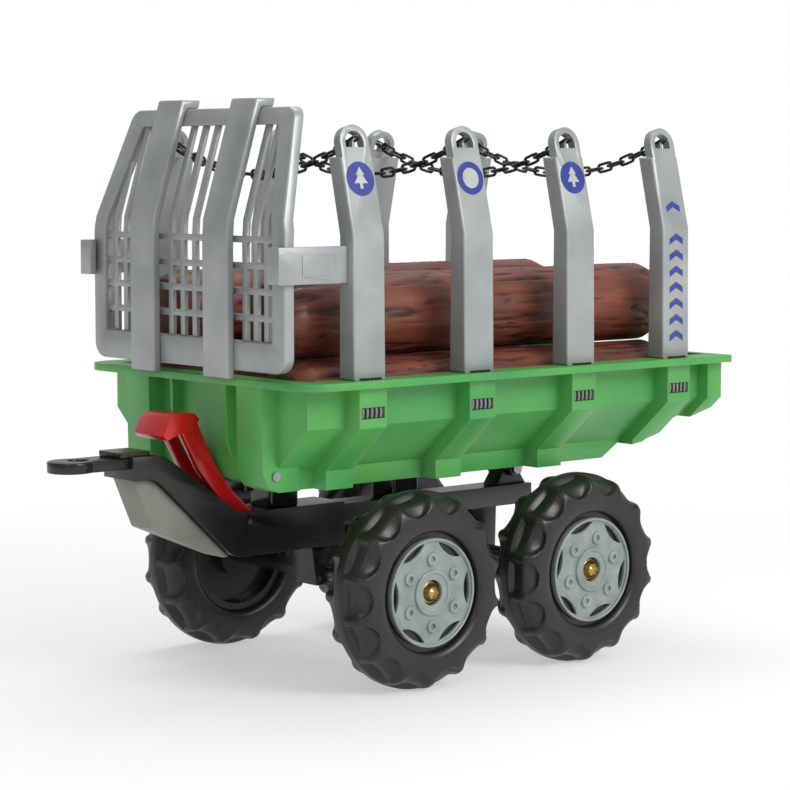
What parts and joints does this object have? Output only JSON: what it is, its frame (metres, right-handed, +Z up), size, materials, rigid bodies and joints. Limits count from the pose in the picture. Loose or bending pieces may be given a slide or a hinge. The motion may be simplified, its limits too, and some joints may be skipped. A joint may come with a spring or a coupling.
{
  "type": "ride-on tractor timber trailer",
  "caption": "Twin-axle tipping timber trailer for a ride-on toy tractor: green tub with leaning slatted headboard, stakes joined by chains, plastic logs and a gooseneck drawbar.",
  "frame": {"origin": "centre of the footprint on the ground, midway between towing eye's tip and the tail", "axes": "+X to the tail, -X to the towing eye, +Y to the trailer's right side, +Z up"},
  "size_m": [0.834, 0.42, 0.646],
  "materials": {
    "tyre_plastic": "satin blow-moulded",
    "black_plastic": "matt",
    "hub_grey": "satin",
    "brass": "bright plated",
    "log_plastic": "satin grained",
    "clip_grey": "matt",
    "silver_plastic": "satin silver",
    "chain_plastic": "gloss",
    "blue_sticker": "printed film",
    "tub_green": "satin",
    "lever_red": "gloss",
    "zinc_steel": "zinc plated",
    "keel_grey": "matt",
    "pad_rubber": "matt",
    "chassis_black": "satin black"
  },
  "bodies": {
    "chassis": {"chassis_beam": "chassis_black", "towing_tongue": "chassis_black", "tongue_cover": "chassis_black", "neck_keel": "keel_grey", "front_axle": "zinc_steel", "rear_axle": "zinc_steel", "axle_saddles": "chassis_black", "axle_spacer_tubes": "chassis_black", "tip_hinge_bracket": "chassis_black", "tip_hinge_pin": "zinc_steel", "tub_rest_pads": "pad_rubber", "lever_pin": "zinc_steel", "axle_cap_front_left": "brass", "axle_cap_front_right": "brass", "axle_cap_rear_left": "brass", "axle_cap_rear_right": "brass"},
    "tub": {"tub": "tub_green", "stake_clips": "clip_grey", "tip_hinge_lugs": "black_plastic", "latch_keeper": "black_plastic", "nose_bolts": "zinc_steel", "emblem_discs": "blue_sticker", "headboard_arm_left": "silver_plastic", "headboard_arm_right": "silver_plastic", "headboard_frame": "silver_plastic", "headboard_grille": "silver_plastic", "headboard_post_left": "silver_plastic", "headboard_post_right": "silver_plastic", "stake_1_left": "silver_plastic", "stake_1_right": "silver_plastic", "stake_2_left": "silver_plastic", "stake_2_right": "silver_plastic", "stake_3_left": "silver_plastic", "stake_3_right": "silver_plastic", "stake_4_left": "silver_plastic", "stake_4_right": "silver_plastic"},
    "lever": {"tipping_lever": "lever_red"},
    "wheel_front_left": {"tyre_front_left": "tyre_plastic", "wheel_core_front_left": "black_plastic", "hub_cap_front_left": "hub_grey"},
    "wheel_front_right": {"tyre_front_right": "tyre_plastic", "wheel_core_front_right": "black_plastic", "hub_cap_front_right": "hub_grey"},
    "wheel_rear_left": {"tyre_rear_left": "tyre_plastic", "wheel_core_rear_left": "black_plastic", "hub_cap_rear_left": "hub_grey"},
    "wheel_rear_right": {"tyre_rear_right": "tyre_plastic", "wheel_core_rear_right": "black_plastic", "hub_cap_rear_right": "hub_grey"},
    "chain_1": {"chain_1": "chain_plastic"},
    "chain_2": {"chain_2": "chain_plastic"},
    "chain_3": {"chain_3": "chain_plastic"},
    "chain_4": {"chain_4": "chain_plastic"},
    "log_lower_left": {"log_lower_left": "log_plastic"},
    "log_lower_middle": {"log_lower_middle": "log_plastic"},
    "log_lower_right": {"log_lower_right": "log_plastic"},
    "log_upper_left": {"log_upper_left": "log_plastic"},
    "log_upper_right": {"log_upper_right": "log_plastic"}
  },
  "joints": [
    {"name": "wheel_front_left_spin", "type": "hinge", "parent": "chassis", "child": "wheel_front_left", "pos_m": [-0.0586, 0, 0.11], "axis": [0, 1, 0], "continuous": true},
    {"name": "wheel_front_right_spin", "type": "hinge", "parent": "chassis", "child": "wheel_front_right", "pos_m": [-0.0586, 0, 0.11], "axis": [0, 1, 0], "continuous": true},
    {"name": "wheel_rear_left_spin", "type": "hinge", "parent": "chassis", "child": "wheel_rear_left", "pos_m": [0.1854, 0, 0.11], "axis": [0, 1, 0], "continuous": true},
    {"name": "wheel_rear_right_spin", "type": "hinge", "parent": "chassis", "child": "wheel_rear_right", "pos_m": [0.1854, 0, 0.11], "axis": [0, 1, 0], "continuous": true},
    {"name": "tub_tip", "type": "hinge", "parent": "chassis", "child": "tub", "pos_m": [0.235, 0, 0.207], "axis": [0, 1, 0], "range_deg": [0, 35]},
    {"name": "lever_pull", "type": "hinge", "parent": "chassis", "child": "lever", "pos_m": [-0.175, 0, 0.18], "axis": [0, -1, 0], "range_deg": [0, 7], "stiffness_Nm_per_rad": 4},
    {"name": "chain_1_swing", "type": "hinge", "parent": "tub", "child": "chain_1", "pos_m": [-0.1405, 0, 0.6], "axis": [0, 1, 0], "range_deg": [-20, 20]},
    {"name": "chain_2_swing", "type": "hinge", "parent": "tub", "child": "chain_2", "pos_m": [0.0165, 0, 0.6], "axis": [0, 1, 0], "range_deg": [-20, 20]},
    {"name": "chain_3_swing", "type": "hinge", "parent": "tub", "child": "chain_3", "pos_m": [0.1735, 0, 0.6], "axis": [0, 1, 0], "range_deg": [-20, 20]},
    {"name": "chain_4_swing", "type": "hinge", "parent": "tub", "child": "chain_4", "pos_m": [0.3305, 0, 0.6], "axis": [0, 1, 0], "range_deg": [-20, 20]},
    {"name": "log_lower_left_slide", "type": "slide", "parent": "tub", "child": "log_lower_left", "axis": [1, 0, 0], "range_m": [0, 0.012]},
    {"name": "log_lower_middle_slide", "type": "slide", "parent": "tub", "child": "log_lower_middle", "axis": [1, 0, 0], "range_m": [0, 0.012]},
    {"name": "log_lower_right_slide", "type": "slide", "parent": "tub", "child": "log_lower_right", "axis": [1, 0, 0], "range_m": [0, 0.012]},
    {"name": "log_upper_left_slide", "type": "slide", "parent": "tub", "child": "log_upper_left", "axis": [1, 0, 0], "range_m": [0, 0.25]},
    {"name": "log_upper_right_slide", "type": "slide", "parent": "tub", "child": "log_upper_right", "axis": [1, 0, 0], "range_m": [0, 0.25]}
  ]
}
